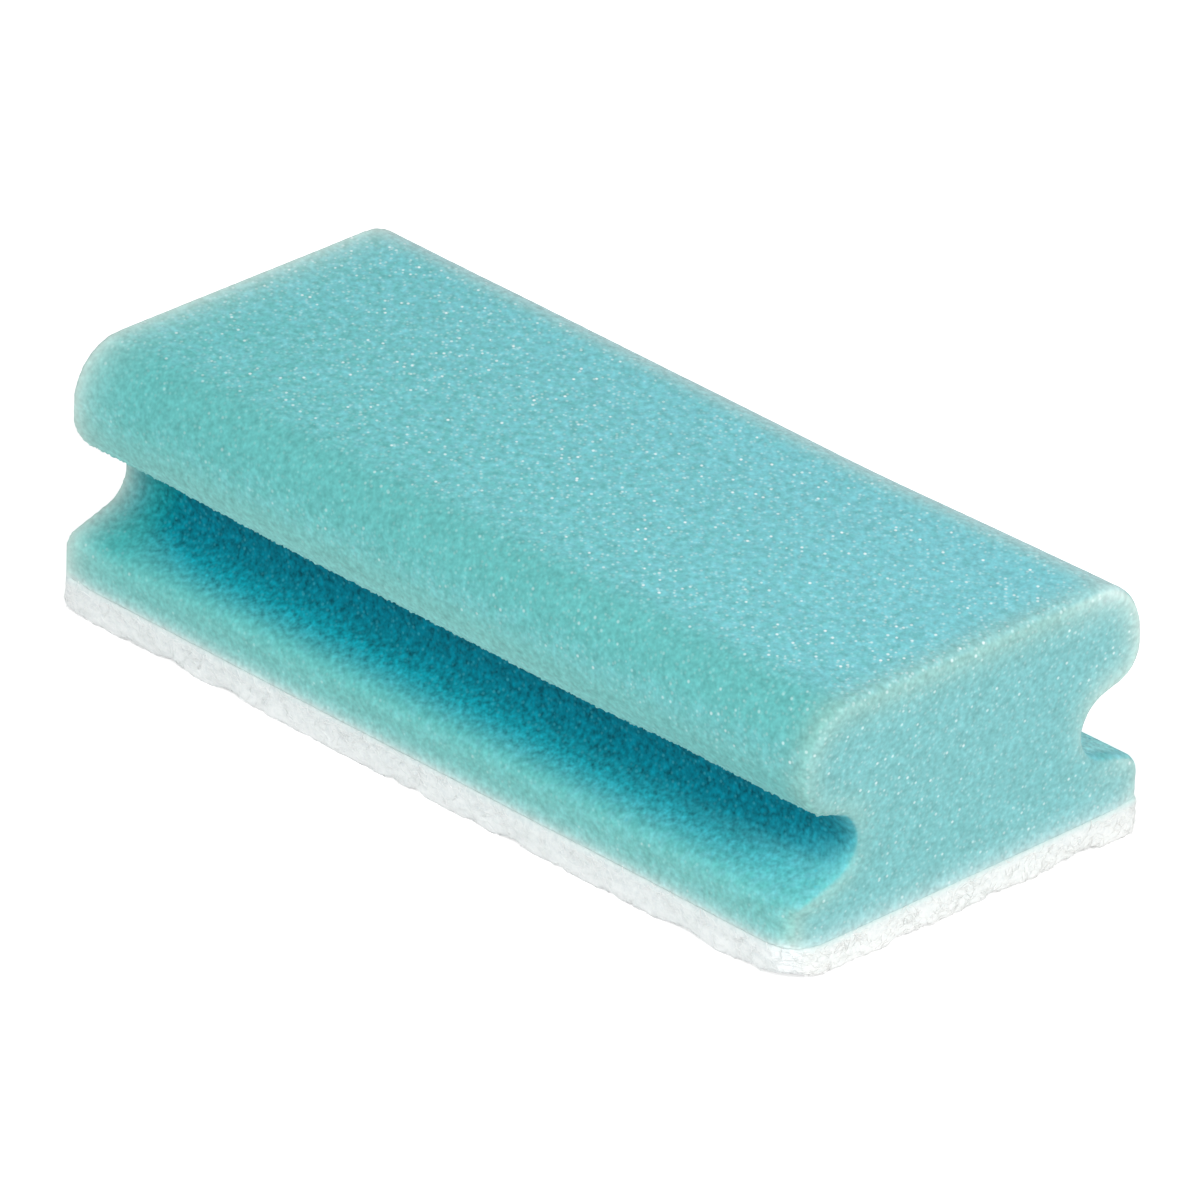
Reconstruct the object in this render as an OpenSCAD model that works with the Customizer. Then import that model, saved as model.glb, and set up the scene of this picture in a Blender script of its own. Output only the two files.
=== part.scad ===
// Cleaning sponge with a grip: a foam block with a finger groove along each long side,
// bonded to a white scouring pad. X runs along the grooves, Y across them and Z up.
// The origin is the middle of the pad's underside. Sizes are in millimetres.

/* [Foam body] */
// Length of the foam from end face to end face
foam_l = 150; // [80:1:220]
// Width of the base, just above the scouring pad
base_w = 69; // [60:0.5:90]
// Width of the head that the hand holds
head_w = 67; // [58:0.5:90]
// Height of the foam from the bond line to the top
foam_h = 36.4; // [35:0.2:50]

/* [Edges of the foam] */
// Height of the upright side of the base, up to its sharp corner
base_side_h = 6.4; // [5:0.1:8]
// Radius of the upper edge of the base
base_edge_r = 2.9; // [1:0.1:3.5]
// Height of the sharp corner under the head, above the bond line
lip_h = 21.4; // [20.5:0.1:23]
// Radius that rounds the corner under the head
lip_r = 6.6; // [3:0.1:7.5]
// Radius of the top edges of the head
shoulder_r = 8.9; // [3:0.1:9.4]

/* [Finger grooves] */
// Width of the waist left between the bottoms of the two grooves
waist_w = 45.4; // [36:0.2:48]
// Radius of the round bottom of a groove
groove_r = 5.1; // [3:0.1:5.5]
// Height of the groove's bottom line above the bond line
groove_h = 13.8; // [13:0.1:14.5]

/* [Scouring pad] */
// Thickness of the pad
pad_t = 5.6; // [3:0.1:10]
// How far the pad stands out past the foam on every side
pad_margin = 0.4; // [0:0.1:1.5]
// Radius of the pad's corners, seen from above
pad_corner_r = 4; // [0.5:0.1:10]

/* [Hidden] */
// Facets of a full circle
$fn = 96;
// Largest turn between two points of a rounding, in degrees
arc_step = 7.5;

pad_l = foam_l + 2 * pad_margin;
pad_w = base_w + 2 * pad_margin;

// Right half of the section in the Y-Z plane, with heights above the bond line
base_foot = [base_w / 2, 0];
base_corner = [base_w / 2, base_side_h];
lip_corner = [head_w / 2, lip_h];
head_corner = [head_w / 2, foam_h];
head_middle = [0, foam_h];
groove_centre = [waist_w / 2 + groove_r, groove_h];
// The groove's flanks run from the corners to its round bottom
flange_end = tangent_point(base_corner, groove_centre, groove_r, -1);
lip_end = tangent_point(lip_corner, groove_centre, groove_r, 1);
// The shoulder's rounding ends where the lip's begins, at the lowest
head_side_h = foam_h - lip_h - rounding_run(lip_end, lip_corner, head_corner, lip_r);
shoulder_fit_r = min(shoulder_r, head_side_h);

// Where the line from an outside point meets a circle, on the side that turn picks
function tangent_point(from, centre, r, turn) =
    let (
        away = from - centre,
        facing = atan2(away[1], away[0]),
        spread = acos(r / norm(away)),
        angle = facing + turn * spread
    )
    centre + r * [cos(angle), sin(angle)];

// The points of an arc round a centre, the short way from start to end
function arc(centre, start, end) =
    let (
        a = start - centre,
        b = end - centre,
        facing = atan2(a[1], a[0]),
        turn = atan2(a[0] * b[1] - a[1] * b[0], a * b),
        steps = ceil(abs(turn) / arc_step)
    )
    [for (i = [0:steps]) centre + norm(a) * [
        cos(facing + turn * i / steps),
        sin(facing + turn * i / steps)
    ]];

// The unit vector from one point to another
function unit(from, to) = (to - from) / norm(to - from);

// Half the angle at a corner between the points before and after it
function half_angle(before, corner, after) =
    acos(unit(corner, before) * unit(corner, after)) / 2;

// How far along each edge a rounding of radius r reaches from its corner
function rounding_run(before, corner, after, r) = r / tan(half_angle(before, corner, after));

// The arc of radius r that rounds a corner between the points before and after it
function rounding(before, corner, after, r) =
    let (
        u = unit(corner, before),
        v = unit(corner, after),
        run = rounding_run(before, corner, after, r),
        centre = corner + unit([0, 0], u + v) * r / sin(half_angle(before, corner, after))
    )
    arc(centre, corner + u * run, corner + v * run);

// Right half of the outline, from the bond line up to the flat top
function half_outline() = concat(
    [base_foot],
    rounding(base_foot, base_corner, flange_end, base_edge_r),
    arc(groove_centre, flange_end, lip_end),
    rounding(lip_end, lip_corner, head_corner, lip_r),
    rounding(lip_corner, head_corner, head_middle, shoulder_fit_r)
);

// The same outline on the other side, in the opposite order
function mirrored(points) =
    [for (i = [len(points) - 1:-1:0]) [-points[i][0], points[i][1]]];

// Foam cut to its section along the whole length, with both end faces square
module foam_body() {
    color([0.43, 0.78, 0.80])
        translate([-foam_l / 2, 0, pad_t])
            rotate([90, 0, 90])
                linear_extrude(foam_l)
                    polygon(concat(half_outline(), mirrored(half_outline())));
}

// Sheet of non-woven fibre, die-cut with rounded corners
module scouring_pad() {
    color([0.93, 0.94, 0.94])
        linear_extrude(pad_t) {
            square([pad_l - 2 * pad_corner_r, pad_w], center = true);
            square([pad_l, pad_w - 2 * pad_corner_r], center = true);
            for (x = [-1, 1], y = [-1, 1])
                translate([x * (pad_l / 2 - pad_corner_r), y * (pad_w / 2 - pad_corner_r)])
                    circle(pad_corner_r);
        }
}

foam_body();
scouring_pad();
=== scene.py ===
"""Looks of a cleaning sponge: a foam grip block with two finger grooves on a white scouring pad.

Everything is in metres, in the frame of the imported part: X runs along the grooves, Z is up,
and the origin is the middle of the pad's underside. The camera looks at the near end, at +X,
and at the near side, at -Y. The far end is at -X and the far side at +Y.
"""

import math
import random

import bpy
import numpy as np
from mathutils import Matrix, Vector
from mathutils.kdtree import KDTree


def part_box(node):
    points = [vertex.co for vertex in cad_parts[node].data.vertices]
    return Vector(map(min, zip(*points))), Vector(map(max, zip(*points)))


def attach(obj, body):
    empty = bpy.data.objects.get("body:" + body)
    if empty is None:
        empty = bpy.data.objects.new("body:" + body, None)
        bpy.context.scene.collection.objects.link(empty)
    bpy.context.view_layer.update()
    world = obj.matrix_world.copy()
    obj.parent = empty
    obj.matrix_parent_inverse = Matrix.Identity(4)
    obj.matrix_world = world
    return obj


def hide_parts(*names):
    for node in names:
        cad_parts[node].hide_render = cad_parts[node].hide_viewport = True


MM = 0.001

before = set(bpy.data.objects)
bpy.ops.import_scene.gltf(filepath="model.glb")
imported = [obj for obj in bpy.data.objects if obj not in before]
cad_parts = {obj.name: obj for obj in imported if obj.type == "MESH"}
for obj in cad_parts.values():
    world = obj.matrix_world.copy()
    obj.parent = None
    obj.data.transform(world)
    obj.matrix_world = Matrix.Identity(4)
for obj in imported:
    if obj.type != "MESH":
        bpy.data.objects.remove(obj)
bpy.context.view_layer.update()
foam_low, foam_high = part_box("foam_body")
pad_low, pad_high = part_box("scouring_pad")
pad_near_corner = Vector((pad_high.x, pad_low.y, 0))

# Two places closer than this count as one
TOUCH = 0.01 * MM
# Faces turned by less than this lie flat with each other
FLAT_ANGLE = math.radians(0.5)
# A face looks up, or along the sponge, where that part of its normal is about this large
FACING_UP = 0.9
FACING_END = (0.5, 0.9)
# Size of the even mesh that the foam and the pad are rebuilt on
VOXEL = 0.5 * MM

# The foam's section, as heights above the floor and widths across both sides
BASE_SIDE_TOP = 12.0 * MM
GROOVE_BOTTOM_LOW = 15.64 * MM
GROOVE_BOTTOM_HIGH = 22.93 * MM
LIP_HEIGHT = 27.0 * MM
WAIST_WIDTH = 45.4 * MM
HEAD_WIDTH = 67.0 * MM

# Height and width at each corner of the section above the base
SECTION_CORNERS = (
    (GROOVE_BOTTOM_LOW, WAIST_WIDTH),
    (GROOVE_BOTTOM_HIGH, WAIST_WIDTH),
    (LIP_HEIGHT, HEAD_WIDTH),
    (foam_high.z, HEAD_WIDTH),
)

# Half width and height of each rounded long edge, how far its rounding reaches, and its facets
BASE_EDGE_RUN = 2.14 * MM
LONG_ROUNDINGS = (
    (foam_high.y, BASE_SIDE_TOP, BASE_EDGE_RUN, 6),
    (WAIST_WIDTH / 2, GROOVE_BOTTOM_LOW, 3.74 * MM, 8),
    (WAIST_WIDTH / 2, GROOVE_BOTTOM_HIGH, 3.50 * MM, 8),
    (HEAD_WIDTH / 2, LIP_HEIGHT, 4.57 * MM, 8),
    (HEAD_WIDTH / 2, foam_high.z, 8.9 * MM, 12),
)
# A long edge is at least this long
LONG_EDGE = 10 * MM
# How far the softened edge of each cut end reaches, and its facets
NEAR_CUT_RUN = 1.4 * MM
FAR_CUT_RUN = 0.3 * MM
CUT_FACETS = 3
# How deep the foam's foot is sunk into the pad
FOAM_SINK = 0.3 * MM
# Where the torn edge under the head lies, in height and from the middle outwards
TORN_BOTTOM = 24 * MM
TORN_TOP = 27 * MM
TORN_START = 27 * MM
# The foam's upright corner at the near end and side is worn round to this radius
WORN_CORNER_RADIUS = 5.0 * MM
WORN_CORNER_FADE = 3.5 * MM

# Small departures of the soft foam from its section
FAR_END_RISE = 0.45 * MM
FAR_TOP_SAG = 0.35 * MM
FAR_LIP_SWELL = 0.5 * MM
NEAR_LIP_DROOP = 0.17 * MM
NEAR_LIP_SAG = 0.42 * MM
FAR_SIDE_SPREAD = 0.7 * MM
FOOT_FLARE = 0.38 * MM
FOOT_HEIGHT = 2.4 * MM
FOOT_END_FADE = 8 * MM

# Spacing of the places along the edges of the cut ends. A point that is further from both ends
# than the zone is long counts as far away from them.
EDGE_STEP = 0.3 * MM
EDGE_ZONE = 11 * MM
FAR_AWAY = 1.0
# Half the foam's length, in millimetres
FOAM_REACH = foam_high.x / MM
# Middle and reach of the groove's height, in millimetres
HOLLOW = (18.5, 4.5)
# Weights up to this are left out of the torn lip
FAINTEST_TEAR = 0.02

# The pad's corners, its worn lower edge, and the worn-away underside of its near corner
NEAR_PAD_CORNER_RUN = 6.5 * MM
PAD_CORNER_RUN = 2.2 * MM
PAD_CORNER_FACETS = 8
PAD_FOOT_RUN = 1.1 * MM
PAD_FOOT_FACETS = 4
FRAYED_HEIGHT = 3.5 * MM
FRAYED_DEPTH = 5 * MM
CALM_RADIUS = 30 * MM
CALM_SHARE = 0.25
LIFT_RADIUS = 14 * MM
LIFT_REACH = 4.5 * MM
LIFT = 1.6 * MM

# Loose fibres: how many, how thick, how long, how far they bow sideways, and how high they arch
FIBRE_COUNT = 5000
FIBRE_SEED = 11
FIBRE_RADIUS = 0.045 * MM
FIBRE_LENGTHS = (0.8, 2.2)
FIBRE_BENDS = (-0.4, 0.4)
FIBRE_ARCH = 0.12 * MM
FIBRE_CLEARANCE = 0.06 * MM
FIBRE_STEPS = 3
# How far a fibre on the pad's edge turns from level, in radians
FIBRE_TURN = 0.6
# Fibres lie where the pad looks up by less than this, and those on its edge between two heights
FIBRE_FACE_LIMIT = 0.6
FIBRE_EDGE_LOW = 0.3 * MM
FIBRE_EDGE_HIGH = pad_high.z - 0.9 * MM
# A surface that leans by less than this counts as level
LEAST_LEAN = 0.2

# Colours of the foam, from the top to the groove, with painted shade and light, painted edges and
# glints
FOAM_BLUE = (0.198, 0.576, 0.634)
FOAM_GREEN = (0.137, 0.522, 0.505)
# Painted shade on the shoulders
SHOULDER_SHADE = (0.125, 0.468, 0.455)
# Painted light on the upright sides of the head and the base
FOAM_SIDE_LIGHT = (0.215, 0.562, 0.532)
# Painted shade on the head's side towards the near end
NEAR_SIDE_SHADE = (0.160, 0.510, 0.500)
# Painted light under the lip
LIP_LIGHT = (0.330, 0.750, 0.715)
# Painted shade in the grooves, darkest deep inside
GROOVE_SHADE = (0.000, 0.392, 0.482)
DEEP_GROOVE_SHADE = (0.000, 0.225, 0.312)
# Painted light in the groove at the far end, where light comes in
GROOVE_FAR_END_LIGHT = (0.000, 0.440, 0.430)
# Painted light on the far side's flange near the near end
GROOVE_PAINTED_LIGHT = (0.430, 0.890, 0.900)
# Painted light along the cut edges of the near end
CUT_EDGE_LIGHT = (0.365, 0.540, 0.465)
# Painted light round the thin edges
RIM_LIGHT = (0.630, 0.785, 0.735)
# Painted light along the far shoulder
FAR_SHOULDER_LIGHT = (0.600, 0.810, 0.840)
# Painted shade on the cut end faces
END_FACE_SHADE = (0.197, 0.475, 0.482)
# Painted glints, highlights of the cell walls
PAINTED_GLINT = (0.900, 0.980, 0.980)
PAINTED_GROOVE_GLINT = (0.060, 0.455, 0.545)

# Colours of the pad: face, gaps, painted light low down, painted shade on the near end, and fibres
PAD_WHITE = (0.860, 0.892, 0.888)
PAD_SHADE = (0.740, 0.785, 0.795)
PAD_LOW_LIGHT = (0.970, 0.980, 0.975)
# Painted shade on the pad's near end, where the strongest light falls
PAD_END_SHADE = (0.955, 0.938, 0.925)
FIBRE_WHITE = (0.930, 0.945, 0.945)
WHITE = (1.0, 1.0, 1.0)
FLOOR_GREY = (0.86, 0.86, 0.86)

# Marks on the foam that take a share of a painted shade or painted light, in the order in which they
# are laid on
FOAM_SHADE_AND_LIGHT_ZONES = (
    ("shoulder", 0.9, SHOULDER_SHADE),
    ("upright_side", 1.0, FOAM_SIDE_LIGHT),
    ("end_face", 0.85, END_FACE_SHADE),
    ("groove_wall_shade", 0.97, GROOVE_SHADE),
    ("groove_bottom_shade", 1.0, DEEP_GROOVE_SHADE),
    ("lip", 0.8, LIP_LIGHT),
    ("groove_far_end_glow", 0.5, GROOVE_FAR_END_LIGHT),
)
# The same for the painted light on the pale and lit edges, which is laid on last
PAINTED_LIGHT_ZONES = (
    ("far_shoulder_glow", 0.75, FAR_SHOULDER_LIGHT),
    ("thin_edge_glow", 1.0, RIM_LIGHT),
    ("lit_groove", 0.85, GROOVE_PAINTED_LIGHT),
)
# How much of the painted glints each zone takes away, where less light would catch them
DIM_GLINT_ZONES = (("shoulder", 0.6), ("upright_side", 0.8), ("end_face", 0.4))

# Repeats in a metre of each pattern
FOAM_PATCHES = 620
FOAM_GRAIN = 1300
FOAM_CELLS = 1700
BRIGHT_GLINTS = 900
FAINT_GLINTS = 1350
PAD_TANGLE = 1300
FIBRE_TONES = 260
# The foam's cells are longer along the way it rose, which is turned from X by this angle
RISE_ANGLE = math.radians(135.6)
RISE_STRETCH = 1.4

# How far up from the bond line the foam is whitened
BOND_HEIGHT = 10 * MM

# What is the same all over each surface
FOAM_SURFACE = {"Roughness": 0.9, "Specular IOR Level": 0.08, "Sheen Weight": 0.06,
                "Sheen Roughness": 0.5}
PAD_SURFACE = {"Roughness": 0.7, "Specular IOR Level": 0.3}
FIBRE_SURFACE = {"Roughness": 0.45, "Specular IOR Level": 0.5}

# The lamps and the camera look at this point, near the sponge's middle
SPONGE_MIDDLE = Vector((0, 0, 20 * MM))
FLOOR_SIZE = 4.0
WORLD_LEVEL = 0.25
# How much the floor adds to what the camera sees of it, so that it comes out white
FLOOR_GLOW = 0.5
SOFTBOX_SIZE = 0.7
# Place and power of each lamp
SOFTBOXES = {
    "side_softbox": ((0, -1.23, 0.88), 7.5),
    "high_side_softbox": ((0, -0.86, 1.25), 3),
    "end_softbox": ((1.23, 0, 0.88), 10.5),
    "back_softbox": ((0, 1.23, 0.88), 2),
    "low_end_softbox": ((1.45, -0.2, 0.4), 4),
    "corner_softbox": ((0.53, -0.53, 1.32), 3),
}
# The camera's angles in degrees, its lens and sensor in millimetres, and its place from the
# sponge's middle, across, up and back along its own view
CAMERA_TURN = 44.44
CAMERA_HEIGHT_ANGLE = 27.97
CAMERA_ROLL = 2.10
CAMERA_LENS = 430.4
CAMERA_SENSOR = 36
CAMERA_OFFSET = Vector((0.516 * MM, -0.538 * MM, 2.0605))


def deselect_all():
    for thing in bpy.context.selected_objects:
        thing.select_set(False)


def make_active(thing):
    deselect_all()
    thing.select_set(True)
    bpy.context.view_layer.objects.active = thing


def shade_smooth(thing):
    make_active(thing)
    bpy.ops.object.shade_smooth()


def add_block(name, low, high):
    """A block between two corners, as the first shape of a piece."""
    deselect_all()
    bpy.ops.mesh.primitive_cube_add(size=1, location=(low + high) / 2)
    block = bpy.context.active_object
    block.name = name
    block.scale = high - low
    bpy.ops.object.transform_apply(location=True, rotation=True, scale=True)
    return block


def start_selection(kind):
    """Deselects the whole mesh, and sets whether faces or edges are selected next."""
    bpy.ops.object.mode_set(mode="EDIT")
    bpy.ops.mesh.select_mode(type=kind)
    bpy.ops.mesh.select_all(action="DESELECT")
    bpy.ops.object.mode_set(mode="OBJECT")


def select_faces(thing, wanted):
    """Selects the faces whose centre and normal pass the test, for work in edit mode."""
    start_selection("FACE")
    for face in thing.data.polygons:
        face.select = wanted(face.center, face.normal)
    bpy.ops.object.mode_set(mode="EDIT")


def select_edges(thing, wanted):
    """Selects the edges whose two ends pass the test, for work in edit mode."""
    start_selection("EDGE")
    points = thing.data.vertices
    for edge in thing.data.edges:
        first, second = (points[i].co for i in edge.vertices)
        edge.select = wanted(first, second)
    bpy.ops.object.mode_set(mode="EDIT")


def bevel_selected(run, facets):
    """Rounds the selected edges, so that the rounding reaches run from each of them."""
    bpy.ops.mesh.bevel(offset_type="OFFSET", offset=run, segments=facets, profile=0.5,
                       clamp_overlap=False)
    bpy.ops.object.mode_set(mode="OBJECT")


def raise_top(thing, height, width):
    """Extrudes the top face to a height and makes it that wide."""
    top = max(point.co.z for point in thing.data.vertices)
    old_width = 2 * max(point.co.y for point in thing.data.vertices if point.co.z > top - TOUCH)
    select_faces(thing, lambda centre, normal: normal.z > FACING_UP and centre.z > top - TOUCH)
    bpy.ops.mesh.extrude_region_move(TRANSFORM_OT_translate={"value": (0, 0, height - top)})
    bpy.ops.transform.resize(value=(1, width / old_width, 1))
    bpy.ops.object.mode_set(mode="OBJECT")


def round_long_edges(thing, half_width, height, run, facets):
    """Rounds the two long edges, one on each side, at a half width and height."""
    def on_line(point):
        return abs(abs(point.y) - half_width) < TOUCH and abs(point.z - height) < TOUCH

    select_edges(thing, lambda first, second: on_line(first) and on_line(second)
                 and abs(first.x - second.x) > LONG_EDGE)
    bevel_selected(run, facets)


def join_flat_faces(thing):
    """Makes one face of neighbours that lie flat with each other."""
    make_active(thing)
    bpy.ops.object.mode_set(mode="EDIT")
    bpy.ops.mesh.select_all(action="SELECT")
    bpy.ops.mesh.dissolve_limited(angle_limit=FLAT_ANGLE)
    bpy.ops.object.mode_set(mode="OBJECT")


def remesh(thing):
    """Rebuilds a piece as one even mesh, fine enough for its small forms and its marks."""
    make_active(thing)
    bpy.ops.object.modifier_add(type="REMESH")
    modifier = thing.modifiers[-1]
    modifier.mode = "VOXEL"
    modifier.voxel_size = VOXEL
    bpy.ops.object.modifier_apply(modifier=modifier.name)


def displace(thing, grain, strength, direction="NORMAL", depth=0, group=""):
    """Moves the surface in and out with a cloudy noise of one grain size."""
    texture = bpy.data.textures.new(thing.name + "_clouds", "CLOUDS")
    texture.noise_scale = grain
    texture.noise_depth = depth
    make_active(thing)
    bpy.ops.object.modifier_add(type="DISPLACE")
    modifier = thing.modifiers[-1]
    modifier.texture = texture
    modifier.texture_coords = "LOCAL"
    modifier.strength = strength
    modifier.mid_level = 0.5
    modifier.direction = direction
    modifier.vertex_group = group
    bpy.ops.object.modifier_apply(modifier=modifier.name)


def read_rows(items, what):
    """One value of each item, as rows of three numbers."""
    rows = np.empty(3 * len(items), np.float32)
    items.foreach_get(what, rows)
    return rows.reshape(-1, 3)


def read_points(thing):
    return read_rows(thing.data.vertices, "co")


def read_mm(thing):
    """X, Y and Z of all points, in millimetres."""
    return read_points(thing).T.astype(float) / MM


def write_points(thing, places):
    thing.data.vertices.foreach_set("co", places.astype(np.float32).ravel())
    thing.data.update()


def keep_mark(thing, name, values):
    """Keeps one number on each point, for the material to read."""
    mark = thing.data.attributes.new(name, "FLOAT", "POINT")
    mark.data.foreach_set("value", np.clip(values, 0, 1).astype(np.float32))


def bell(values, middle, reach):
    """1 at the middle, and softly down to 0 on both sides."""
    return np.exp(-((values - middle) / reach) ** 2)


def ramp(values, start, stop):
    """0 before start, 1 after stop, and smooth between them."""
    share = np.clip((values - start) / (stop - start), 0, 1)
    return share * share * (3 - 2 * share)


def fall(values, start, stop):
    """1 before start, 0 after stop, and smooth between them."""
    return 1 - ramp(values, start, stop)


def less(share, zone):
    """1 outside a zone, and less by a share inside it."""
    return 1 - share * zone


def facing_end(thing):
    """1 where the surface faces along the sponge, as the cut ends do, and 0 where it faces across."""
    normals = read_rows(thing.data.vertex_normals, "vector")
    return ramp(np.abs(normals[:, 0]), *FACING_END)


def block_out_foam():
    """The foam with its section in straight lines, before any edge is rounded."""
    slab_low = foam_low - Vector((0, 0, FOAM_SINK))
    slab_high = Vector((foam_high.x, foam_high.y, BASE_SIDE_TOP))
    foam = add_block("foam_grip", slab_low, slab_high)
    for height, width in SECTION_CORNERS:
        raise_top(foam, height, width)
    join_flat_faces(foam)
    return foam


def end_face_ring(foam):
    """The corner points of the near end face, in order."""
    end = max(foam.data.polygons, key=lambda face: (round(face.normal.x, 3), face.area))
    return [foam.data.vertices[i].co.copy() for i in end.vertices]


def soften_cut_end(foam, side, run):
    """Softens the edge between one cut end and the long faces, but not along the bond line."""
    def on_end(point):
        return side * point.x > foam_high.x - TOUCH

    select_edges(foam, lambda first, second: on_end(first) and on_end(second)
                 and max(first.z, second.z) > foam_low.z + TOUCH)
    bevel_selected(run, CUT_FACETS)


def refine_lip(foam):
    """Halves the faces under the head, where the torn edge needs finer teeth."""
    select_faces(foam, lambda centre, normal: TORN_BOTTOM < centre.z < TORN_TOP
                 and abs(centre.y) > TORN_START)
    bpy.ops.mesh.subdivide(number_cuts=1)
    bpy.ops.object.mode_set(mode="OBJECT")


def edge_marks(ring):
    """Places along the edges of the two cut ends, without the bond line."""
    marks = []
    for start, stop in zip(ring, ring[1:] + ring[:1]):
        if max(start.z, stop.z) < foam_low.z + TOUCH:
            continue
        steps = math.ceil((stop - start).length / EDGE_STEP)
        for step in range(steps):
            point = start.lerp(stop, step / steps)
            marks += [Vector((side * foam_high.x, point.y, point.z)) for side in (-1, 1)]
    return marks


def edge_distance(foam, ring):
    """How far each point lies from the edges of the two cut ends, in millimetres."""
    marks = edge_marks(ring)
    tree = KDTree(len(marks))
    for i, mark in enumerate(marks):
        tree.insert(mark, i)
    tree.balance()
    places = read_points(foam)
    distance = np.full(len(places), FAR_AWAY)
    for i in np.flatnonzero(np.abs(places[:, 0]) > foam_high.x - EDGE_ZONE):
        distance[i] = tree.find(places[i])[2]
    return distance / MM


def off_far_flange(x, y, z):
    """1, but low on the far side's flange at the near end, where the edge takes no painted light."""
    flange = bell(z, middle=14.5, reach=3) * ramp(y, start=18, stop=22) * fall(y, start=27, stop=35)
    return less(0.9, flange * (x > 0))


def mark_near_band(foam, distance):
    """Marks the soft band of painted light round the near end, weaker in the groove and on the far
    side.
    """
    x, y, z = read_mm(foam)
    head_side = bell(z, middle=31, reach=9) * (y < 0)
    band = bell(distance, middle=0, reach=2.7 + ramp(z, start=14, stop=24)) * (x > 0)
    band *= less(0.25, head_side) * less(0.7, bell(z, *HOLLOW)) * less(0.5, ramp(y, start=12, stop=30))
    keep_mark(foam, "cut_edge_glow", band * off_far_flange(x, y, z))


def mark_rim_light(foam, distance):
    """Marks painted light where light comes through thin foam: round the far end, and along the far
    side.
    """
    x, y, z = read_mm(foam)
    on_end = facing_end(foam)
    at_far_side = ramp(y, start=12, stop=32) * (0.5 + 0.5 * ramp(z, start=11, stop=16))
    thin = np.where(x < 0, less(0.65, on_end), at_far_side * (0.45 + 0.65 * on_end))
    reach = 2.5 - np.where(x < 0, 0.4, 1.0) * bell(z, *HOLLOW)
    keep_mark(foam, "thin_edge_glow", thin * off_far_flange(x, y, z) * np.exp(-distance / reach))
    keep_mark(foam, "far_shoulder_glow", ramp(y, start=22.5, stop=29.5) * ramp(z, start=38.8, stop=40.5))


def mark_faces(foam):
    """Marks the cut ends, the shoulders, the upright sides and the lips, where shade and light are
    painted.
    """
    _, y, z = read_mm(foam)
    out = np.abs(y)
    on_end = facing_end(foam)
    long_side = 1 - on_end
    head_side = bell(z, middle=29, reach=4.5) * ramp(out, start=26, stop=30)
    base_side = 0.6 * fall(z, start=9.5, stop=12.5)
    keep_mark(foam, "end_face", on_end)
    keep_mark(foam, "shoulder", long_side * ramp(z, start=32, stop=38) * ramp(out, start=22, stop=29))
    keep_mark(foam, "upright_side", long_side * np.maximum(head_side, base_side))
    keep_mark(foam, "lip", long_side * bell(z, middle=26.5, reach=2.2) * ramp(out, start=27, stop=30))


def dark_beside_near_end(x, z):
    """How much painted shade the groove keeps towards the near end, where light comes in through the
    end face.
    """
    soft = 4.5 + 3.0 * fall(z, start=16, stop=19) + 8.5 * fall(z, start=14.3, stop=16)
    return 1 - less(0.2, ramp(z, start=16, stop=19)) * np.exp((x - FOAM_REACH) / soft)


def dark_on_far_flange(x, z):
    """How much painted shade the far side's flange keeps towards the near end, where it is lit further
    in.
    """
    lit_length = 21 + 14 * fall(z, start=13, stop=18)
    dark = fall(x, start=FOAM_REACH - lit_length, stop=FOAM_REACH)
    return dark * less(0.9, ramp(x, start=FOAM_REACH - 2.5, stop=FOAM_REACH - 0.5))


def mark_grooves(foam):
    """Marks painted shade in the grooves, darkest deep inside, and painted light where light comes in
    near the ends.
    """
    x, y, z = read_mm(foam)
    out = np.abs(y)
    groove = (1 - facing_end(foam)) * ramp(z, start=11, stop=13) * fall(z, start=23.5, stop=25.5)
    keep_mark(foam, "groove_far_end_glow", groove * (y < 0) * bell(x, middle=-67.5, reach=4.5))
    dark_start = 12 + 15 * fall(z, start=13, stop=15.5) - FOAM_REACH
    groove *= 0.15 + 0.85 * ramp(x, start=-FOAM_REACH, stop=dark_start)
    keep_mark(foam, "in_groove", groove)
    far_flange = (y > 0) * fall(z, start=16.5, stop=18.5)
    lit = far_flange * ramp(x, start=46, stop=66) * fall(x, start=71, stop=74)
    keep_mark(foam, "lit_groove", groove * lit)
    groove *= far_flange * dark_on_far_flange(x, z) + (1 - far_flange) * dark_beside_near_end(x, z)
    keep_mark(foam, "groove_wall_shade", groove * fall(out, start=27.5, stop=35.2))
    keep_mark(foam, "groove_bottom_shade", groove * fall(out, start=22.5, stop=29))


def mark_torn_lip(foam):
    """Weights the edge under the head, for the noise that tears it."""
    x, y, z = read_mm(foam)
    weights = bell(z, middle=25.2, reach=1.4) * ramp(np.abs(y), start=27, stop=30)
    weights *= less(ramp(x, start=55, stop=68), y > 0)
    torn = foam.vertex_groups.new(name="torn_lip")
    for i in np.flatnonzero(weights > FAINTEST_TEAR):
        torn.add([int(i)], float(weights[i]), "REPLACE")


def wear_near_corner(foam):
    """Rounds the base's upright corner at the near end and side, and fades out above the base."""
    places = read_points(foam)
    radius = WORN_CORNER_RADIUS
    middle = np.array((foam_high.x - radius, radius - foam_high.y))
    outward = (places[:, :2] - middle) * (1, -1)
    reach = np.linalg.norm(outward, axis=1)
    inside = (outward > 0).all(axis=1) & (reach > radius)
    fade_start = BASE_SIDE_TOP - BASE_EDGE_RUN
    fade = fall(places[inside, 2], start=fade_start, stop=fade_start + WORN_CORNER_FADE)
    pull = (radius / reach[inside] - 1) * fade
    places[inside, :2] += (places[inside, :2] - middle) * pull[:, None]
    write_points(foam, places)


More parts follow.
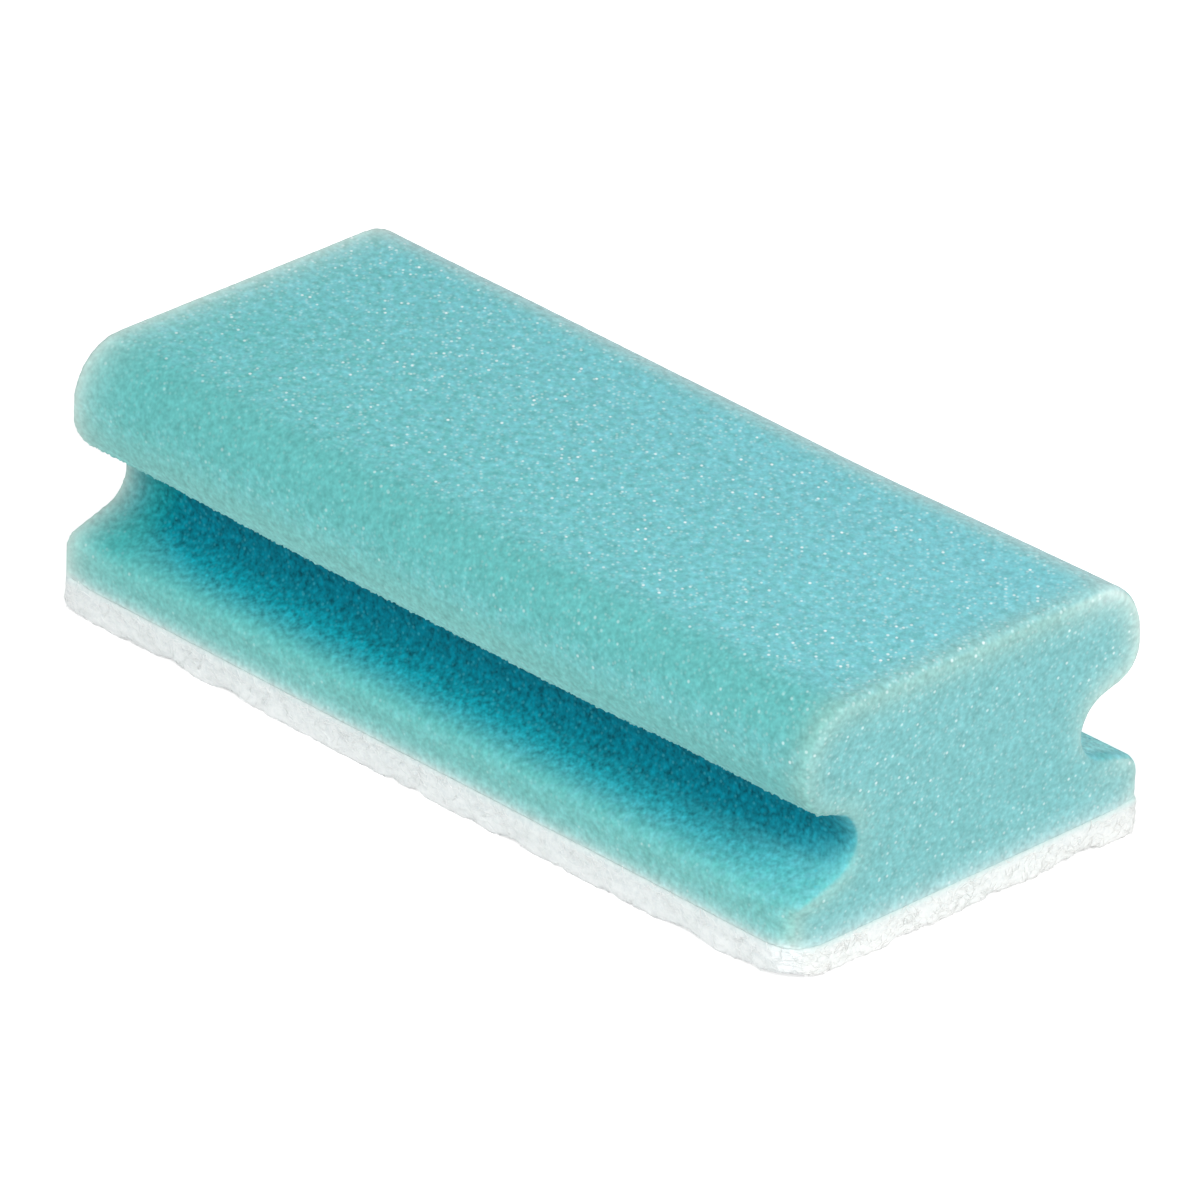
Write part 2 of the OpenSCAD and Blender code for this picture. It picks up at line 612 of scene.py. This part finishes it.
def settle(foam):
    """Lets the far end rise, the near lip hang, the far top sag and the far lip swell, all a little."""
    places = read_points(foam)
    x, y, z = places.T
    near_lip = bell(z, middle=26 * MM, reach=2.5 * MM) * ramp(-y, start=25 * MM, stop=29 * MM)
    far_lip = bell(z, middle=28.5 * MM, reach=5 * MM) * ramp(y, start=26 * MM, stop=32 * MM)
    far_top = ramp(z, start=32 * MM, stop=foam_high.z) * ramp(y, start=0, stop=25 * MM)
    to_far_end = (foam_high.x - x) / (2 * foam_high.x)
    rise = FAR_END_RISE * to_far_end ** 3 * ramp(z, start=28 * MM, stop=foam_high.z)
    rise -= NEAR_LIP_DROOP * near_lip * fall(x, start=0, stop=60 * MM)
    midway = ramp(x, start=-65 * MM, stop=-25 * MM) * fall(x, start=33 * MM, stop=50 * MM)
    rise -= NEAR_LIP_SAG * near_lip * midway
    rise -= FAR_TOP_SAG * far_top * bell(x, middle=25 * MM, reach=35 * MM)
    swell = FAR_LIP_SWELL * far_lip * ramp(x, start=-20 * MM, stop=foam_high.x)
    places[:, 1] += swell
    places[:, 2] += rise - swell
    write_points(foam, places)


def flare_foot(foam):
    """Spreads the foam's foot, where the glue draws it out to the edge of the pad."""
    places = read_points(foam)
    foot = fall(places[:, 2], start=foam_low.z, stop=foam_low.z + FOOT_HEIGHT)
    foot *= ramp(places[:, 0], start=-foam_high.x, stop=FOOT_END_FADE - foam_high.x)
    for axis, other in ((0, 1), (1, 0)):
        inward = foam_high[axis] - np.abs(places[:, axis])
        from_corner = foam_high[other] - np.abs(places[:, other])
        at_side = fall(inward, start=0.5 * MM, stop=3 * MM)
        off_corner = ramp(from_corner, start=1.5 * MM, stop=6 * MM)
        places[:, axis] += np.sign(places[:, axis]) * FOOT_FLARE * foot * at_side * off_corner
    write_points(foam, places)


def spread_far_side(thing):
    """Lets the far side of the foam or the pad stand out a little at the near end."""
    places = read_points(thing)
    x, y, _ = places.T
    at_near_end = ramp(x, start=20 * MM, stop=foam_high.x)
    places[:, 1] += FAR_SIDE_SPREAD * at_near_end * ramp(y, start=0, stop=30 * MM)
    write_points(thing, places)


def mark_foam(foam, ring):
    """Keeps on each point how far it belongs to each zone of the foam."""
    distance = edge_distance(foam, ring)
    mark_near_band(foam, distance)
    mark_rim_light(foam, distance)
    mark_faces(foam)
    mark_grooves(foam)
    mark_torn_lip(foam)


def make_foam():
    foam = block_out_foam()
    for rounding in LONG_ROUNDINGS:
        round_long_edges(foam, *rounding)
    ring = end_face_ring(foam)
    soften_cut_end(foam, side=1, run=NEAR_CUT_RUN)
    soften_cut_end(foam, side=-1, run=FAR_CUT_RUN)
    remesh(foam)
    refine_lip(foam)
    mark_foam(foam, ring)
    wear_near_corner(foam)
    displace(foam, grain=30 * MM, strength=0.2 * MM)
    displace(foam, grain=0.8 * MM, strength=0.06 * MM)
    displace(foam, grain=0.5 * MM, strength=0.9 * MM, group="torn_lip")
    settle(foam)
    flare_foot(foam)
    spread_far_side(foam)
    shade_smooth(foam)
    return foam


def round_pad_corners(pad, near, run):
    """Rounds the upright edge of the near corner, or those of the three others."""
    def at_corner(point):
        return abs(point.x) > pad_high.x - TOUCH and abs(point.y) > pad_high.y - TOUCH

    def upright(first, second):
        return abs(first.x - second.x) < TOUCH and abs(first.y - second.y) < TOUCH

    select_edges(pad, lambda first, second: upright(first, second) and at_corner(first)
                 and (first.x > 0 > first.y) == near)
    bevel_selected(run, PAD_CORNER_FACETS)


def lift_near_corner(pad):
    """Wears the underside of the near corner away, so that it clears the floor a little."""
    for point in pad.data.vertices:
        away = ((point.co - pad_near_corner) * Vector((1, 1, 0))).length
        share = max(0.0, 1 - away / LIFT_RADIUS) ** 2 * max(0.0, 1 - point.co.z / LIFT_REACH)
        point.co.z += LIFT * share


def fray_lower_edge(pad):
    """Makes the lower edge uneven all round, and less so at the near corner."""
    frayed = pad.vertex_groups.new(name="frayed_edge")
    for point in pad.data.vertices:
        inward = min(pad_high.x - abs(point.co.x), pad_high.y - abs(point.co.y))
        low = max(0.0, 1 - point.co.z / FRAYED_HEIGHT)
        outer = max(0.0, 1 - inward / FRAYED_DEPTH)
        calm = min(1.0, (point.co - pad_near_corner).length / CALM_RADIUS)
        weight = low * outer * (CALM_SHARE + (1 - CALM_SHARE) * calm)
        frayed.add([point.index], weight, "REPLACE")
    displace(pad, grain=5.5 * MM, strength=3.2 * MM, direction="Z", depth=1, group=frayed.name)


def flatten_onto_floor(thing):
    for point in thing.data.vertices:
        point.co.z = max(point.co.z, 0.0)


def make_pad():
    pad = add_block("scouring_pad_mat", pad_low, pad_high)
    round_pad_corners(pad, near=True, run=NEAR_PAD_CORNER_RUN)
    round_pad_corners(pad, near=False, run=PAD_CORNER_RUN)
    select_edges(pad, lambda first, second: max(first.z, second.z) < pad_low.z + TOUCH)
    bevel_selected(PAD_FOOT_RUN, PAD_FOOT_FACETS)
    remesh(pad)
    lift_near_corner(pad)
    fray_lower_edge(pad)
    displace(pad, grain=3.0 * MM, strength=0.25 * MM, depth=1)
    displace(pad, grain=0.9 * MM, strength=0.25 * MM)
    flatten_onto_floor(pad)
    spread_far_side(pad)
    shade_smooth(pad)
    return pad


def add_fibre(splines, start, along, outward, length, bend):
    """One short fibre as an open spline that lies along the surface and bows a little."""
    spline = splines.new("POLY")
    spline.points.add(FIBRE_STEPS)
    side = along.cross(outward).normalized()
    for i, point in enumerate(spline.points):
        share = i / FIBRE_STEPS
        bow = 4 * share * (1 - share)
        place = start + along * (length * (share - 0.5)) + side * (bend * bow)
        place += outward * (FIBRE_ARCH * bow)
        place.z = max(place.z, FIBRE_CLEARANCE)
        point.co = (*place, 1)


def level_along(outward):
    """A level direction along a surface, or X where the surface itself is level."""
    level = Vector((-outward.y, outward.x, 0))
    return Vector((1, 0, 0)) if level.length < LEAST_LEAN else level


def start_fibre_curve():
    curve = bpy.data.curves.new("pad_fibres", "CURVE")
    curve.dimensions = "3D"
    curve.bevel_depth = FIBRE_RADIUS
    curve.bevel_resolution = 0
    curve.use_fill_caps = True
    return curve


def make_fibres(pad):
    """Loose fibres on the pad: two in three lie along its edge, and the others anywhere but on top."""
    draws = random.Random(FIBRE_SEED)
    faces = [face for face in pad.data.polygons if face.normal.z < FIBRE_FACE_LIMIT]
    edge_faces = [face for face in faces if FIBRE_EDGE_LOW < face.center.z < FIBRE_EDGE_HIGH]
    curve = start_fibre_curve()
    for i in range(FIBRE_COUNT):
        on_edge = i % 3 > 0
        face = draws.choice(edge_faces if on_edge else faces)
        outward = face.normal.copy()
        turn = draws.gauss(0, FIBRE_TURN) if on_edge else draws.uniform(0, math.pi)
        along = (Matrix.Rotation(turn, 3, outward) @ level_along(outward)).normalized()
        length = draws.uniform(*FIBRE_LENGTHS) * MM
        bend = draws.uniform(*FIBRE_BENDS) * MM
        add_fibre(curve.splines, face.center.copy(), along, outward, length, bend)
    thing = bpy.data.objects.new("pad_fibres", curve)
    bpy.context.scene.collection.objects.link(thing)
    make_active(thing)
    bpy.ops.object.convert(target="MESH")
    bpy.ops.object.shade_smooth()
    return bpy.context.active_object


class Recipe:
    """The nodes of a material or of the world, and short ways to add and join them."""

    def __init__(self, tree):
        self.nodes = tree.nodes
        self.links = tree.links
        self.nodes.clear()

    def add(self, kind, **settings):
        """Adds one node, with its settings."""
        node = self.nodes.new("ShaderNode" + kind)
        for name, value in settings.items():
            setattr(node, name, value)
        return node

    def put(self, value, socket):
        """Links an output to a socket, or sets the socket to a number, a direction or a colour."""
        if isinstance(value, bpy.types.NodeSocket):
            self.links.new(value, socket)
        elif socket.type == "RGBA":
            socket.default_value = (*value, 1)
        else:
            socket.default_value = value

    def chain(self, operation, first, *others):
        """Combines numbers one after another."""
        for other in others:
            step = self.add("Math", operation=operation)
            self.put(first, step.inputs[0])
            self.put(other, step.inputs[1])
            first = step.outputs[0]
        return first

    def plus(self, *values):
        return self.chain("ADD", *values)

    def times(self, *values):
        return self.chain("MULTIPLY", *values)

    def largest(self, *values):
        return self.chain("MAXIMUM", *values)

    def fade(self, value, start, stop, low=0.0, high=1.0):
        """Goes from low to high while a value goes from start to stop."""
        node = self.add("MapRange")
        self.put(value, node.inputs["Value"])
        self.put(start, node.inputs["From Min"])
        self.put(stop, node.inputs["From Max"])
        self.put(low, node.inputs["To Min"])
        self.put(high, node.inputs["To Max"])
        return node.outputs["Result"]

    def mix(self, share, first, second):
        """Mixes a share of the second colour into the first."""
        node = self.add("Mix", data_type="RGBA")
        first_socket, second_socket = (s for s in node.inputs if s.type == "RGBA")
        self.put(share, node.inputs["Factor"])
        self.put(first, first_socket)
        self.put(second, second_socket)
        return next(s for s in node.outputs if s.type == "RGBA")

    def multiply(self, first, second):
        """The product of two colours or directions, number by number."""
        node = self.add("VectorMath", operation="MULTIPLY")
        self.put(first, node.inputs[0])
        self.put(second, node.inputs[1])
        return node.outputs["Vector"]

    def brighten(self, colour, level):
        """A colour made lighter or darker by a factor."""
        node = self.add("VectorMath", operation="SCALE")
        self.put(colour, node.inputs["Vector"])
        self.put(level, node.inputs["Scale"])
        return node.outputs["Vector"]

    def place(self):
        """Where on the object a point lies, in metres."""
        return self.add("TexCoord").outputs["Object"]

    def axes(self, place):
        """X, Y and Z of a place."""
        node = self.add("SeparateXYZ")
        self.put(place, node.inputs["Vector"])
        return tuple(node.outputs)

    def mark(self, name):
        """A number that the mesh keeps on its points, such as how far they are in a zone."""
        return self.add("Attribute", attribute_name=name).outputs["Fac"]

    def by_zone(self, name, outside, inside):
        """One number outside a marked zone, and another inside it."""
        return self.fade(self.mark(name), 0, 1, outside, inside)

    def noise(self, place, scale, detail, roughness=0.5):
        """A cloudy pattern around 0.5."""
        node = self.add("TexNoise")
        self.put(place, node.inputs["Vector"])
        self.put(scale, node.inputs["Scale"])
        self.put(detail, node.inputs["Detail"])
        self.put(roughness, node.inputs["Roughness"])
        return node.outputs["Fac"]

    def cells(self, place, scale):
        """Rounded cells, with the distance to each cell's middle and a colour by chance."""
        node = self.add("TexVoronoi")
        self.put(place, node.inputs["Vector"])
        self.put(scale, node.inputs["Scale"])
        return node.outputs

    def seen(self):
        """1 for what the camera sees, straight or in gloss and glass, and 0 for plain light."""
        rays = self.add("LightPath").outputs
        return self.largest(rays["Is Camera Ray"], rays["Is Glossy Ray"], rays["Is Transmission Ray"])

    def surface(self, colour, constants):
        """The shader, with its colour and with what is the same all over the surface."""
        shader = self.add("BsdfPrincipled")
        self.put(colour, shader.inputs["Base Color"])
        for name, value in constants.items():
            self.put(value, shader.inputs[name])
        self.put(shader.outputs["BSDF"], self.add("OutputMaterial").inputs["Surface"])
        return shader

    def bump(self, shader, height, strength, depth):
        """Small relief that the light sees."""
        node = self.add("Bump")
        self.put(height, node.inputs["Height"])
        self.put(strength, node.inputs["Strength"])
        self.put(depth, node.inputs["Distance"])
        self.put(node.outputs["Normal"], shader.inputs["Normal"])


def start_material(name):
    material = bpy.data.materials.new(name)
    material.use_nodes = True
    return material, Recipe(material.node_tree)


def along_rise(recipe, place):
    """Coordinates in which the foam's cells come out longer along the way the foam rose."""
    turned = recipe.add("VectorRotate", rotation_type="Z_AXIS")
    recipe.put(place, turned.inputs["Vector"])
    recipe.put(RISE_ANGLE, turned.inputs["Angle"])
    return recipe.multiply(turned.outputs["Vector"], (1, 1 / RISE_STRETCH, 1))


def foam_blueness(recipe, x, y, z):
    """Higher towards the near end, the top and the far side, where the foam is bluer."""
    upward = recipe.fade(z, start=10 * MM, stop=44 * MM, low=0, high=0.5)
    nearer = recipe.fade(x, start=-75 * MM, stop=75 * MM, low=0, high=0.5)
    across = recipe.fade(y, start=-30 * MM, stop=22 * MM, low=-0.25, high=0.15)
    return recipe.plus(upward, nearer, across)


def tint_zones(recipe, colour, zones):
    """Lays a share of a tone over each marked zone, one after another."""
    for name, share, tone in zones:
        colour = recipe.mix(recipe.times(recipe.mark(name), share), colour, tone)
    return colour


def foam_tint(recipe, blueness, patches):
    """The foam's own colour in small patches, with painted shade or painted light over each zone."""
    patchy = recipe.plus(blueness, recipe.fade(patches, start=0.3, stop=0.7, low=-0.3, high=0.3))
    return tint_zones(recipe, recipe.mix(patchy, FOAM_GREEN, FOAM_BLUE), FOAM_SHADE_AND_LIGHT_ZONES)


def shade_near_side(recipe, colour, x, z):
    """Painted shade: makes the head's side a little darker towards the near end."""
    near = recipe.fade(x, start=10 * MM, stop=70 * MM, low=0, high=0.8)
    on_head = recipe.fade(z, start=18 * MM, stop=24 * MM)
    share = recipe.times(recipe.mark("upright_side"), near, on_head)
    return recipe.mix(share, colour, NEAR_SIDE_SHADE)


def paint_edge_light(recipe, colour):
    """Painted light: paler where the cut ends meet the long faces, and palest where the foam is thin.
    """
    strength = recipe.by_zone("in_groove", outside=0.5, inside=0)
    colour = recipe.mix(recipe.times(recipe.mark("cut_edge_glow"), strength), colour, CUT_EDGE_LIGHT)
    return tint_zones(recipe, colour, PAINTED_LIGHT_ZONES)


def whiten_at_bond(recipe, colour, z):
    """Turns the foam whiter little by little, down to the bond line."""
    steepness = recipe.by_zone("end_face", outside=-10.3, inside=-6.9)
    whitest = recipe.by_zone("end_face", outside=0.62, inside=0.40)
    height = recipe.fade(z, start=foam_low.z, stop=foam_low.z + BOND_HEIGHT)
    falling = recipe.add("Math", operation="EXPONENT")
    recipe.put(recipe.times(height, steepness), falling.inputs[0])
    return recipe.mix(recipe.times(falling.outputs[0], whitest), colour, PAD_WHITE)


def grain_of_cells(recipe, colour, rise, patches):
    """Fine cells, as a lighter and darker grain of the same colour, strongest in the groove."""
    grain = recipe.noise(rise, FOAM_GRAIN, detail=1.5, roughness=0.6)
    contrast = recipe.times(recipe.by_zone("groove_wall_shade", outside=1, inside=2.7),
                            recipe.by_zone("thin_edge_glow", outside=1, inside=0.4))
    fine = recipe.times(recipe.fade(grain, start=0.2, stop=0.8, low=-0.23, high=0.19), contrast)
    broad = recipe.fade(patches, start=0.3, stop=0.7, low=0.95, high=1.05)
    return recipe.brighten(colour, recipe.plus(fine, broad))


def glint_dots(recipe, place, scale, size, share):
    """Small round dots on a share of the cells, up to 1 on the brightest dots."""
    cells = recipe.cells(place, scale)
    split = recipe.add("SeparateColor")
    recipe.put(cells["Color"], split.inputs["Color"])
    chosen = recipe.fade(split.outputs["Red"], start=share, stop=0, low=0.15, high=1)
    return recipe.times(recipe.fade(cells["Distance"], start=size, stop=size * 0.4), chosen)


def paint_glints(recipe, colour, rise, blueness):
    """Painted glints of the cell walls, few on the sides that catch less light and dull in the groove.
    """
    bright = recipe.times(glint_dots(recipe, rise, BRIGHT_GLINTS, size=0.28, share=0.36),
                          recipe.by_zone("groove_wall_shade", outside=1, inside=0.55))
    faint = recipe.times(glint_dots(recipe, rise, FAINT_GLINTS, size=0.42, share=0.7),
                         recipe.by_zone("groove_wall_shade", outside=0.36, inside=0.5))
    shine = recipe.fade(blueness, start=0.1, stop=0.6, low=0.4, high=0.95)
    shine = recipe.largest(shine, recipe.mark("groove_wall_shade"))
    for name, share in DIM_GLINT_ZONES:
        shine = recipe.times(shine, recipe.by_zone(name, outside=1, inside=1 - share))
    glints = recipe.times(recipe.largest(bright, faint), shine)
    in_groove = recipe.fade(recipe.mark("in_groove"), start=0, stop=0.5)
    return recipe.mix(glints, colour, recipe.mix(in_groove, PAINTED_GLINT, PAINTED_GROOVE_GLINT))


def foam_material():
    material, recipe = start_material("cut_foam")
    place = recipe.place()
    x, y, z = recipe.axes(place)
    rise = along_rise(recipe, place)
    patches = recipe.noise(place, FOAM_PATCHES, detail=1.0)
    blueness = foam_blueness(recipe, x, y, z)
    colour = foam_tint(recipe, blueness, patches)
    colour = shade_near_side(recipe, colour, x, z)
    colour = paint_edge_light(recipe, colour)
    colour = whiten_at_bond(recipe, colour, z)
    colour = grain_of_cells(recipe, colour, rise, patches)
    colour = paint_glints(recipe, colour, rise, blueness)
    shader = recipe.surface(colour, FOAM_SURFACE)
    height = recipe.cells(rise, FOAM_CELLS)["Distance"]
    recipe.bump(shader, height, strength=0.12, depth=0.15 * MM)
    return material


def on_near_end(recipe, x):
    """1 on the end of the pad that faces the camera, and 0 elsewhere."""
    return recipe.fade(x, start=pad_high.x - 2 * MM, stop=pad_high.x - 0.5 * MM)


def shade_near_end(recipe, colour, x):
    """Painted shade: takes a little of the white away where the strongest light falls."""
    return recipe.multiply(colour, recipe.mix(on_near_end(recipe, x), WHITE, PAD_END_SHADE))


def foam_through_fibres(recipe, colour, x, z):
    """Lets foam colour show through the fibres next to the bond line."""
    bond = recipe.fade(z, start=pad_high.z - 1.9 * MM, stop=pad_high.z + 0.9 * MM)
    shown = recipe.fade(on_near_end(recipe, x), start=0, stop=1, low=0.6, high=1)
    return recipe.mix(recipe.times(recipe.chain("POWER", bond, 2.0), shown), colour, FOAM_SIDE_LIGHT)


def pad_material():
    material, recipe = start_material("scouring_mat")
    place = recipe.place()
    x, _, z = recipe.axes(place)
    tangle = recipe.noise(place, PAD_TANGLE, detail=3, roughness=0.65)
    colour = recipe.mix(recipe.fade(tangle, start=0.6, stop=0.3), PAD_WHITE, PAD_SHADE)
    # Painted light on the pad's lowest part
    low = recipe.fade(z, start=3.5 * MM, stop=0.5 * MM, low=0, high=0.5)
    colour = recipe.mix(low, colour, PAD_LOW_LIGHT)
    colour = shade_near_end(recipe, colour, x)
    colour = foam_through_fibres(recipe, colour, x, z)
    shader = recipe.surface(colour, PAD_SURFACE)
    recipe.bump(shader, tangle, strength=0.2, depth=0.2 * MM)
    return material


def fibre_material():
    material, recipe = start_material("white_fibre")
    place = recipe.place()
    x, _, _ = recipe.axes(place)
    tones = recipe.noise(place, FIBRE_TONES, detail=2)
    colour = recipe.mix(recipe.fade(tones, start=0.35, stop=0.65), PAD_WHITE, FIBRE_WHITE)
    recipe.surface(shade_near_end(recipe, colour, x), FIBRE_SURFACE)
    return material


def floor_material():
    """A pale matt floor that keeps the shadow and looks white to the camera."""
    material, recipe = start_material("pale_floor")
    matt = recipe.add("BsdfDiffuse")
    recipe.put(FLOOR_GREY, matt.inputs["Color"])
    glow = recipe.add("Emission")
    recipe.put(WHITE, glow.inputs["Color"])
    recipe.put(recipe.times(recipe.seen(), FLOOR_GLOW), glow.inputs["Strength"])
    both = recipe.add("AddShader")
    recipe.put(matt.outputs["BSDF"], both.inputs[0])
    recipe.put(glow.outputs["Emission"], both.inputs[1])
    recipe.put(both.outputs["Shader"], recipe.add("OutputMaterial").inputs["Surface"])
    return material


def give_material(thing, material):
    thing.data.materials.clear()
    thing.data.materials.append(material)


def make_floor():
    deselect_all()
    bpy.ops.mesh.primitive_plane_add(size=FLOOR_SIZE, location=(0, 0, 0))
    floor = bpy.context.active_object
    floor.name = "floor"
    give_material(floor, floor_material())


def make_world():
    """White for the camera, and a low even light for the sponge."""
    world = bpy.data.worlds.new("studio")
    bpy.context.scene.world = world
    world.use_nodes = True
    recipe = Recipe(world.node_tree)
    background = recipe.add("Background")
    recipe.put(WHITE, background.inputs["Color"])
    strength = recipe.fade(recipe.seen(), start=0, stop=1, low=WORLD_LEVEL, high=1.0)
    recipe.put(strength, background.inputs["Strength"])
    recipe.put(background.outputs["Background"], recipe.add("OutputWorld").inputs["Surface"])


def add_softbox(name, location, power):
    light = bpy.data.lights.new(name, "AREA")
    light.shape = "SQUARE"
    light.size = SOFTBOX_SIZE
    light.energy = power
    lamp = bpy.data.objects.new(name, light)
    bpy.context.scene.collection.objects.link(lamp)
    lamp.location = location
    towards = SPONGE_MIDDLE - Vector(location)
    lamp.rotation_euler = towards.to_track_quat("-Z", "Y").to_euler()


def make_camera():
    """A long lens on the near end and the near side, with a slight tilt of the horizon."""
    turn = Matrix.Rotation(math.radians(CAMERA_TURN), 3, "Z")
    tip = Matrix.Rotation(math.radians(90 - CAMERA_HEIGHT_ANGLE), 3, "X")
    roll = Matrix.Rotation(math.radians(CAMERA_ROLL), 3, "Z")
    pose = turn @ tip @ roll
    data = bpy.data.cameras.new("camera")
    data.sensor_width = CAMERA_SENSOR
    data.lens = CAMERA_LENS
    camera = bpy.data.objects.new("camera", data)
    bpy.context.scene.collection.objects.link(camera)
    camera.location = SPONGE_MIDDLE + pose @ CAMERA_OFFSET
    camera.rotation_euler = pose.to_euler()
    bpy.context.scene.camera = camera


foam = make_foam()
give_material(foam, foam_material())
pad = make_pad()
give_material(pad, pad_material())
fibres = make_fibres(pad)
give_material(fibres, fibre_material())

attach(foam, "root")
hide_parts("foam_body")
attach(pad, "root")
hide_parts("scouring_pad")
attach(fibres, "root")

make_floor()
make_world()
for name, (location, power) in SOFTBOXES.items():
    add_softbox(name, location, power)
make_camera()
bpy.context.scene.view_settings.view_transform = "Standard"
